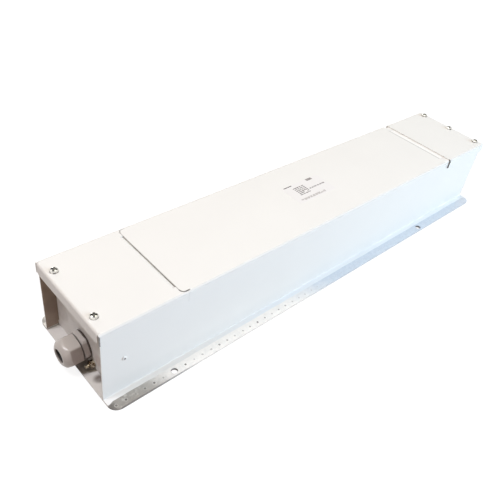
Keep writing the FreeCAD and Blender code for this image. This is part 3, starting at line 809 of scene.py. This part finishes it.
# %% The tree that sets out copies
@grower
def set_out(points="Geometry", pattern="Object", spin="Float", tilt="Float", seed="Int"):
    facing = add("GeometryNodeInputNamedAttribute", {"Name": "facing"}, tree_of([points]),
                 data_type="FLOAT_VECTOR")[0]
    aimed = add("FunctionNodeAlignRotationToVector", {"Vector": facing}, axis="Z")[0]
    limits = add("ShaderNodeCombineXYZ", {0: tilt, 1: tilt, 2: spin})[0]
    turn = vector_maths("MULTIPLY", draw(seed, (-1.0, -1.0, -1.0), (1.0, 1.0, 1.0)), limits)
    turn = add("FunctionNodeEulerToRotation", {0: turn})[0]
    rotation = add("FunctionNodeRotateRotation", {0: aimed, 1: turn}, rotation_space="LOCAL")[0]
    return copies(pattern, Points=points, Rotation=rotation)


# %% [markdown]
# ## Cover screws
#
# Two pan head screws hold the near cover and three the far cover. The head, a low dome, and the
# shank are turned, and a Boolean modifier cuts the cross recess with a tapered punch. The CAD
# says where each screw stands.

# %% The profile of a cover screw, in mm
head_radius, head_height, shank_radius, shank_length = 4.75, 3.7, 2.45, 12.0
thread_pitch, thread_depth = 1.0, 0.35
flat_share, rim_share, dome_steps = 0.4, 0.25, 8

screw_profile = [(0, -shank_length), (shank_radius - 0.5, -shank_length)]
for turn_number in range(int(shank_length) - 3):
    foot = -shank_length + 0.6 + turn_number * thread_pitch
    screw_profile += [(shank_radius - thread_depth, foot), (shank_radius, foot + thread_pitch / 2)]
screw_profile += [(shank_radius - thread_depth, -2.0), (shank_radius, -1.6), (shank_radius, 0.0)]
screw_profile += [(head_radius, 0.0), (head_radius, rim_share * head_height)]
for step_number in range(1, dome_steps + 1):
    angle = math.pi / 2 * step_number / dome_steps
    across = flat_share * head_radius + (1 - flat_share) * head_radius * math.cos(angle)
    up = rim_share * head_height + (1 - rim_share) * head_height * math.sin(angle)
    screw_profile.append((across, up))
screw_profile.append((0, head_height))
screw_pattern = new_piece("screw_pattern", turned(screw_profile, 40))
print("screw profile has", len(screw_profile), "points")

# %% Punch the cross recess
recess_reach, recess_width, recess_depth, taper = 4.3, 2.7, 2.0, 0.7
cross = []
for quarter in range(4):
    cosine, sine = math.cos(quarter * math.pi / 2), math.sin(quarter * math.pi / 2)
    half = recess_width / 2
    for along, across in ((half, -half), (recess_reach, -half), (recess_reach, half)):
        x, y = along * cosine - across * sine, along * sine + across * cosine
        cross.append((x * mm, y * mm))
bottom, top = (head_height - recess_depth) * mm, (head_height + 0.5) * mm
punch = new_piece("punch", prism(cross, bottom, top, taper))
cut = screw_pattern.modifiers.new("recess", "BOOLEAN")
cut.object = punch
cut.solver = "EXACT"
head_mesh = smoothed(settle(screw_pattern).data)
print("one screw has", len(head_mesh.polygons), "faces")

# %% Mark the points that lie in the recess, well below the dome
depths = []
for point in head_mesh.vertices:
    x, y, z = point.co / mm
    beyond = (math.hypot(x, y) / head_radius - flat_share) / (1 - flat_share)
    fall = math.sqrt(1.0 - min(max(beyond, 0.0), 1.0) ** 2)
    dome = head_height * (rim_share + (1 - rim_share) * fall)
    depths.append(1.0 if z > 0.3 * head_height and dome - z > 0.15 else 0.0)
head_mesh.attributes["hollow"].data.foreach_set("value", depths)
print(int(sum(depths)), "points lie in the recess")

# %% [markdown]
# Painted shade darkens the screw recess. Its points were marked above, so the painted shade
# follows that mark on every copy. Patches of painted shade lie on the rim under the head too, and
# there the height above the cover is enough for the mask.

# %% The screws' own finish
screw_steel, place = new_material("screw_steel", tone(186, 183, 176), 0.26, 1.0)
gloss, height = hairlines(place, (6.0, 6.0, 1.0), 0.002, 0.26)[:2]
toned = mottle(place, tone(226, 223, 217), size=0.004, amount=0.3)
patchy = mask(noise(place, 0.003), 0.38, 0.6)
# Painted shade in the recess and in patches on the rim under the head.
rim = mask(axes_of(place)[2], cover_top + 0.0026, cover_top + 0.0012) * patchy
marks = most(mask(hollow_of(screw_steel), 0.0, 0.3), rim * 0.95)
shade(screw_steel, settled_dirt(place, toned, tone(40, 37, 34), marks), gloss, height, 0.00002, 0.4)

# %% Set out the five screws
screw_places = []
for node, columns in (("near_cover_screws", (-1, 1)), ("far_cover_screws", (-1, 0, 1))):
    low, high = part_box(node)
    spread = high.y - head_radius * mm
    screw_places += [((low.x + high.x) / 2, column * spread, cover_top) for column in columns]
cover_screws = grown("cover_screws", set_out, points_mesh(screw_places, [(0, 0, 1)] * 5),
                     pattern=screw_pattern, spin=math.pi, tilt=0.0, seed=4, finish=screw_steel)
joins_case(cover_screws, "plated_steel", "near_cover_screws", "far_cover_screws")

# %% [markdown]
# ## Rivets
#
# One blind rivet on each side holds the near end plate. Its head is painted with the wall, and
# painted shade darkens the bore in which the pulling pin broke off. Head, bore, shank and the tail
# that swelled up inside are one profile.

# %% The rivet's profile and finish
rivet_profile = [
    (0, -5.1), (1.6, -5.1), (2.3, -4.5), (2.4, -3.1), (1.6, -3.1), (1.6, 0.0), (3.25, 0.0),
    (3.25, 0.2), (2.95, 0.7), (2.4, 1.1), (1.8, 1.35), (1.35, 1.4), (1.2, 1.3, 0.6), (1.15, 0.9, 1.0),
    (1.15, -1.2, 1.0), (0.9, -1.25, 1.0), (0, -1.0, 1.0),
]
rivet_pattern = new_piece("rivet_pattern", smoothed(turned(rivet_profile, 32)))
rivet_paint, place, paint, gloss, height = powder_painted("rivet_paint")
# Painted shade in the bore.
stained = settled_dirt(place, paint, tone(112, 110, 108), hollow_of(rivet_paint))
shade(rivet_paint, stained, gloss, height, 0.00004, 0.5)

# %% Set out the two rivets
low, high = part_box("plate_rivets")
sides = (-1, 1)
rivet_places = [((low.x + high.x) / 2, side * wall_face, (low.z + high.z) / 2) for side in sides]
rivets = grown("side_rivets", set_out, points_mesh(rivet_places, [(0, side, 0) for side in sides]),
               pattern=rivet_pattern, spin=math.pi, tilt=0.02, seed=2, finish=rivet_paint)
joins_case(rivets, "case_paint", "plate_rivets")

# %% [markdown]
# ## Weld marks
#
# The foot of each wall is spot-welded to the base sheet. Every weld leaves a shallow dished mark:
# a light ring round a dark middle. They run in three stretches along each foot, a finger's
# breadth apart, with a gap at each mounting hole. A stretch is a rule, so this tree makes its
# own line of points and pushes them about a little.

# %% The tree that makes a row of welds
@grower
def weld_row(nothing="Geometry", pattern="Object", start="Vector", step="Vector", count="Int",
             reach="Float", seed="Int"):
    line = shape("MeshLine", Count=count, Start_Location=start, Offset=step)
    push = vector_maths("MULTIPLY", draw(seed, (-1.0, -0.5, 0.0), (1.0, 0.5, 0.0)), reach)
    pushed = shape("SetPosition", Geometry=line, Offset=push)
    sizes = {2: 0.85, 3: 1.1, "Seed": seed}
    size = add("FunctionNodeRandomValue", sizes, data_type="FLOAT")[1]
    return copies(pattern, Points=pushed, Scale=size)


# %% The finish of a weld mark
weld_metal, place = new_material("weld_metal", tone(225, 223, 219), 0.4, 0.6)
hollow = hollow_of(weld_metal)
uneven = mask(noise(place, 0.02), 0.35, 0.62)
fading = between(mask(axes_of(place)[0], -0.13, 0.0), 1.0, 0.15)
ring = mask(hollow, 0.0, 0.3) * 0.2 * fading * uneven
ringed = blend(ring, zinc_colours(place)[0], tone(240, 238, 235))
core = mask(hollow, 0.35, 0.8) * between(uneven, 0.45, 1.0) * fading
burnt = settled_dirt(place, ringed, tone(84, 80, 78), core)
shade(weld_metal, burnt, *grain(place, 0.0008, 0.42, 0.2), 0.00004, 0.6)

# %% Weld both feet
foot_top, weld_line = 0.003, 0.0772
weld_profile = [(0, -0.4), (2.4, -0.4), (2.4, 0.03), (2.0, 0.12, 0.3), (1.6, 0.10, 0.4),
                (0.9, 0.05, 0.9), (0, 0.04, 1.0)]
weld_pattern = new_piece("weld_pattern", smoothed(turned(weld_profile, 12), 60.0))
stretches = {
    "near": (-0.3580, 12.13 * mm, 6),
    "middle": (-0.2658, 12.76 * mm, 37),
    "far": (0.2270, 12.76 * mm, 11),
}
for foot, side in (("right", -1), ("left", 1)):
    for number, (stretch, (start, step, count)) in enumerate(stretches.items()):
        row = grown(foot + "_" + stretch + "_welds", weld_row, None, pattern=weld_pattern,
                    start=(start, side * weld_line, foot_top), step=(step, 0.0, 0.0), count=count,
                    reach=0.5 * mm, seed=11 + number + side, finish=weld_metal)
        joins_case(row, "galvanised_sheet")
for tool in (punch, screw_pattern, rivet_pattern, weld_pattern):
    bpy.data.objects.remove(tool)

# %% [markdown]
# ## Earth studs
#
# Beside each gland a threaded stud is welded to the end plate. A thread is a spiral, and Geometry
# Nodes has a Spiral curve: a small section swept along it makes the ridge. The core of the stud
# is the tree's input, a turned shape with a cone at its tip.

# %% The tree that cuts a thread
@grower
def threaded(core="Geometry", radius="Float", depth="Float", pitch="Float", start="Float",
             length="Float"):
    spiral = shape("CurveSpiral", Resolution=20, Rotations=length / pitch, Height=length,
                   Start_Radius=radius - depth, End_Radius=radius - depth)
    section = shape("CurvePrimitiveCircle", Resolution=4, Radius=depth)
    ridge = shape("CurveToMesh", Curve=spiral, Profile_Curve=section, Fill_Caps=True)
    lift = add("ShaderNodeCombineXYZ", {2: start})[0]
    raised = shape("Transform", Geometry=ridge, Translation=lift)
    together = add("GeometryNodeJoinGeometry", {0: raised})
    fill(together.node.inputs[0], core)
    return together[0]


# %% Thread both studs
stud_radius, stud_length, thread_run = 2.5, 11.0, 9.0
core_profile = [(0, 0), (3.7, 0), (3.75, 0.3), (3.6, 0.8), (2.15, 0.8), (2.15, stud_length - 0.7),
                (1.5, stud_length), (0, stud_length)]
ends = {"near": -1, "far": 1}
for end, direction in ends.items():
    core = smoothed(turned(core_profile, 24))
    stud = grown(end + "_threaded_stud", threaded, core, radius=stud_radius * mm, depth=0.36 * mm,
                 pitch=0.8 * mm, start=1.3 * mm, length=thread_run * mm, finish=earth_brass)
    stood(stud.data, end + "_earth_stud", direction)
    joins_case(stud, "plated_steel", end + "_earth_stud")

# %% [markdown]
# ## Gland dome nuts
#
# The nut of a cable gland is moulded: a hexagon that runs out into a round nose, with soft edges.
# At each point the hexagon and the turned nose both give a radius, and a soft minimum of the two
# rounds the edges. The helper that turns profiles takes this rule for its radius.

# %% The rule for the outline of a moulded nut
flats, corners, corner_angle, edge_softness = 33.0, 37.4, 20.0, 0.16
nose_length, nut_length, nose_radius, bore = 8.0, 21.6, 11.5, 8.6
always_round = 11.6


def moulded_radius(radius, angle):
    """The softly blended smaller radius of a hexagon and a turned profile, in mm."""
    if radius < always_round:
        return radius
    from_corner = (math.degrees(angle) - corner_angle) % 60.0 - 30.0
    hexagon = flats / 2 / math.cos(math.radians(from_corner))
    total = math.exp(-radius / edge_softness) + math.exp(-hexagon / edge_softness)
    return max(min(radius, hexagon) - edge_softness * 0.6, -edge_softness * math.log(total))


print("a nut is", nut_length, "mm long and", flats, "mm across flats")


# %% The dome nut's profile, from the bore in the back round the outside to the bore in front
def softened(profile, reaches, steps=4):
    """The profile with its inner corners cut by smooth curves, each reach mm from the corner."""
    result = [profile[0]]
    shares = [step_number / steps for step_number in range(steps + 1)]
    for before, corner, after, reach in zip(profile, profile[1:], profile[2:], reaches):
        middle = Vector(corner)
        gaps = [Vector(other) - middle for other in (before, after)]
        first, last = [middle + gap.normalized() * min(reach, gap.length / 2) for gap in gaps]
        curve = [tuple(first * (1 - t) ** 2 + middle * 2 * t * (1 - t) + last * t ** 2) for t in shares]
        result += curve if reach else [corner]
    return result + [profile[-1]]


nut_outline = [(12.6, 0.1), (16.6, 0.0), (corners / 2, 1.6), (corners / 2, 5.0),
               (corners / 2, 9.5), (corners / 2, nut_length - nose_length), (15.4, nut_length - 2.7),
               (nose_radius, nut_length), (bore, nut_length), (bore, nut_length - 2.0)]
nut_profile = softened(nut_outline, (0.6, 0.6, 0, 0, 1.6, 1.4, 0.8, 0.35))
# The points inside the bore are marked as hollow, for painted shade.
nut_profile[-1] += (1.0,)
nut_profile += [(bore, nut_length - 5.0, 1.0), (12.5, nut_length - 9.3, 1.0), (12.5, 1.0, 1.0)]
print("dome nut profile has", len(nut_profile), "points")

# %% Mould both dome nuts
for end, direction in ends.items():
    mesh = turned(nut_profile, 180, moulded_radius, looped=True)
    stood(mesh, end + "_gland_dome_nut", direction)
    nut = new_piece(end + "_moulded_nut", smoothed(mesh, 40.0))
    dress(nut, finishes["gland_plastic"])
    joins_case(nut, "gland_plastic", end + "_gland_dome_nut")

# %% [markdown]
# ## The label
#
# On the middle cover is a thin printed film. The real wording is not part of the object, so the
# print is only plain bars in blocks. Each block is a grid of points; some are left out at random
# and each bar has its own length, so a block looks like lines of small print.

# %% The tree that prints a block of bars
@grower
def bar_block(nothing="Geometry", place="Vector", width="Float", depth="Float", columns="Int",
              rows="Int", bar="Vector", left_out="Float", seed="Int"):
    grid = shape("MeshGrid", Size_X=width, Size_Y=depth, Vertices_X=columns, Vertices_Y=rows)
    moved = shape("Transform", Geometry=grid, Translation=place)
    odds = {"Probability": left_out, "Seed": seed}
    gone = add("FunctionNodeRandomValue", odds, data_type="BOOLEAN")[3]
    kept = shape("DeleteGeometry", Geometry=shape("MeshToPoints", Mesh=moved), Selection=gone)
    length = draw(seed, (0.45, 0.85, 1.0), (1.0, 1.0, 1.0))
    return shape("InstanceOnPoints", Points=kept, Instance=shape("MeshCube", Size=bar), Scale=length)


# %% Film and ink
film_tone = tone(235, 232, 230)
label_film, place = new_material("label_film", film_tone, 0.34, specular=0.45)
satin = grain(place, 0.001, 0.3, 0.12)
shade(label_film, mottle(place, film_tone, size=0.02, amount=0.03), *satin, 0.00001, 0.5)

inks = {"dark": tone(90, 83, 82), "grey": tone(160, 154, 151), "pale": tone(190, 185, 182)}
for title, ink_tone in inks.items():
    ink, place = new_material("label_ink_" + title, ink_tone, 0.5)
    shade(ink, mottle(place, ink_tone, size=0.003, amount=0.4))

# %% Lay the film on the cover
corner_radius, corner_steps = 0.0015, 5
left, right = -0.0355 + corner_radius, 0.0365 - corner_radius
front, back = -0.0175 + corner_radius, 0.0215 - corner_radius
film_bottom, film_top = cover_top - 0.0002, cover_top + 0.0001
outline = []
for quarter, (x, y) in enumerate(((right, back), (left, back), (left, front), (right, front))):
    for step_number in range(corner_steps + 1):
        angle = math.pi / 2 * (quarter + step_number / corner_steps)
        outline.append((x + corner_radius * math.cos(angle), y + corner_radius * math.sin(angle)))
label = new_piece("label_film", prism(outline, film_bottom, film_top))
dress(label, label_film)
joins_case(label, "cover_paint")

# %% Print the blocks, in mm
blocks = {
    "title_bar": ((-24.5, 20.0), 10.5, 0.0, 4, 1, (5.2, 1.7), 0.0, 21, "dark"),
    "rating_lines": ((-10.5, 5.0), 15.5, 15.5, 4, 6, (6.0, 1.5), 0.06, 22, "dark"),
    "square_mark": ((17.5, 19.4), 8.0, 2.2, 3, 2, (5.4, 2.6), 0.0, 23, "grey"),
    "terms_line": ((16.5, 2.2), 26.0, 1.2, 6, 2, (5.6, 0.8), 0.1, 24, "dark"),
    "foot_lines": ((-5.0, -12.6), 43.0, 2.6, 9, 3, (6.4, 1.3), 0.05, 25, "pale"),
}
for title, (middle, width, depth, columns, rows, bar, left_out, seed, ink) in blocks.items():
    block = grown("label_" + title, bar_block, None, place=(middle[0] * mm, middle[1] * mm, film_top),
                  width=width * mm, depth=depth * mm, columns=columns, rows=rows,
                  bar=(bar[0] * mm, bar[1] * mm, 0.00004), left_out=left_out, seed=seed,
                  finish=finishes["label_ink_" + ink])
    joins_case(block, "cover_paint")

# %% [markdown]
# ## Light, floor and camera
#
# The photo is a bright catalogue picture: white ground, soft warm light from above, a bluish fill
# from the right, and hardly any shadow on the ground. The camera, and all that mirrors it, sees a
# white world; the light that falls on the object is dimmer and warm.

# %% World
def two_faced(tree, kind, scattered, seen):
    """Ends a tree: light meets one shader; the camera, glass and reflections show the other."""
    rays = add("ShaderNodeLightPath", {}, tree)
    direct = most(rays["Is Camera Ray"], rays["Is Glossy Ray"])
    direct = most(direct, rays["Is Transmission Ray"])
    both = add("ShaderNodeMixShader", {0: direct, 1: scattered, 2: seen})[0]
    add("ShaderNodeOutput" + kind, {0: both})
    print("tree for the", kind.lower(), "has", len(tree.nodes), "nodes")


world = bpy.data.worlds.new("studio")
bpy.context.scene.world = world
world.use_nodes = True
sky = world.node_tree
sky.nodes.clear()
ambient = add("ShaderNodeBackground", {"Color": (1.0, 0.69, 0.54, 1.0), "Strength": 0.105}, sky)[0]
backdrop = add("ShaderNodeBackground", {"Color": white, "Strength": 1.0}, sky)[0]
two_faced(sky, "World", ambient, backdrop)

# %% [markdown]
# Five lamps light the object. In the recess the gland throws a clear shadow, so the key lamp
# above is small. A large one hangs overhead, two on the right colour the long wall from pale grey
# to bluish white, and a weak one on the left keeps the back readable. The two on the right leave
# no highlights, because seen from behind they would bleach the covers.

# %% Lamps
aim = Vector((-0.1, 0.0, 0.05))
lamps = {
    "key": ((-1.11, 0.22, 2.22), (0.4, 0.4), 24, (0.935, 0.915, 1.0)),
    "overhead": ((-0.1, 0.1, 2.05), (2.4, 1.8), 13.5, (1.0, 1.0, 0.7)),
    "right_far": ((1.11, -1.71, 0.71), (1.4, 1.0), 38.5, (0.59, 0.835, 1.0)),
    "right_high": ((0.12, -1.55, 1.6), (1.4, 1.0), 16, (0.98, 0.88, 1.0)),
    "left": ((-0.1, 2.07, 0.8), (1.4, 1.0), 10, (1.0, 1.0, 1.0)),
}
for title, (place, size, watts, colour) in lamps.items():
    light = bpy.data.lights.new(title, "AREA")
    light.shape = "RECTANGLE"
    light.size, light.size_y = size
    light.energy, light.color = watts, colour
    lamp = new_piece(title, light)
    lamp.location = place
    lamp.rotation_euler = (aim - Vector(place)).to_track_quat("-Z", "Y").to_euler()
    lamp.visible_glossy = not title.startswith("right")
print("lamps:", list(lamps))

# %% [markdown]
# The floor must look as white as the photo's ground and still keep the object's shadow, so the
# camera sees a plain glow with a little of the lit surface in it, and away from the object the
# glow rises to white. Light that bounces off the floor meets a plain pale surface.

# %% Floor
reach = 5.0
corners = [(-reach, -reach, 0), (reach, -reach, 0), (reach, reach, 0), (-reach, reach, 0)]
floor = new_piece("floor", new_mesh(corners, [(0, 1, 2, 3)]))
floor.location.z = -0.0001
floor_white = bpy.data.materials.new("floor_white")
floor_white.use_nodes = True
tree = floor_white.node_tree
tree.nodes.clear()
plain = add("ShaderNodeBsdfDiffuse", {"Color": (0.5, 0.45, 0.41, 1.0)}, tree)[0]
faint = add("ShaderNodeBsdfDiffuse", {"Color": (0.24, 0.24, 0.24, 1.0)}, tree)[0]
away = vector_maths("DISTANCE", add("ShaderNodeTexCoord", {}, tree)["Object"], origin)
brightness = between(mask(away, 0.7, 1.8), 0.86, 1.0)
glow = add("ShaderNodeEmission", {"Color": white, "Strength": brightness})[0]
shown = add("ShaderNodeAddShader", {0: faint, 1: glow})[0]
two_faced(tree, "Material", plain, shown)
dress(floor, floor_white)
floor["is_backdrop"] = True
print("floor is", 2 * reach, "m wide")

# %% [markdown]
# The camera stands where the photographer stood, above the near end and a little to the right.
# Its place, tilt and lens were found from the straight edges in the photo.

# %% Camera
lens = bpy.data.cameras.new("photo_camera")
lens.lens, lens.sensor_width = 41.105, 36.0
lens.clip_start, lens.clip_end = 0.01, 50.0
camera = new_piece("photo_camera", lens)
camera.location = (-0.54525, -0.39499, 0.53555)
camera.rotation_euler = [math.radians(angle) for angle in (50.0929, -7.4231, -42.1515)]
bpy.context.scene.camera = camera
bpy.context.scene.view_settings.view_transform = "Standard"
print("lens", lens.lens, "mm")

# %% Keep the two boxes and finish
visual_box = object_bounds()
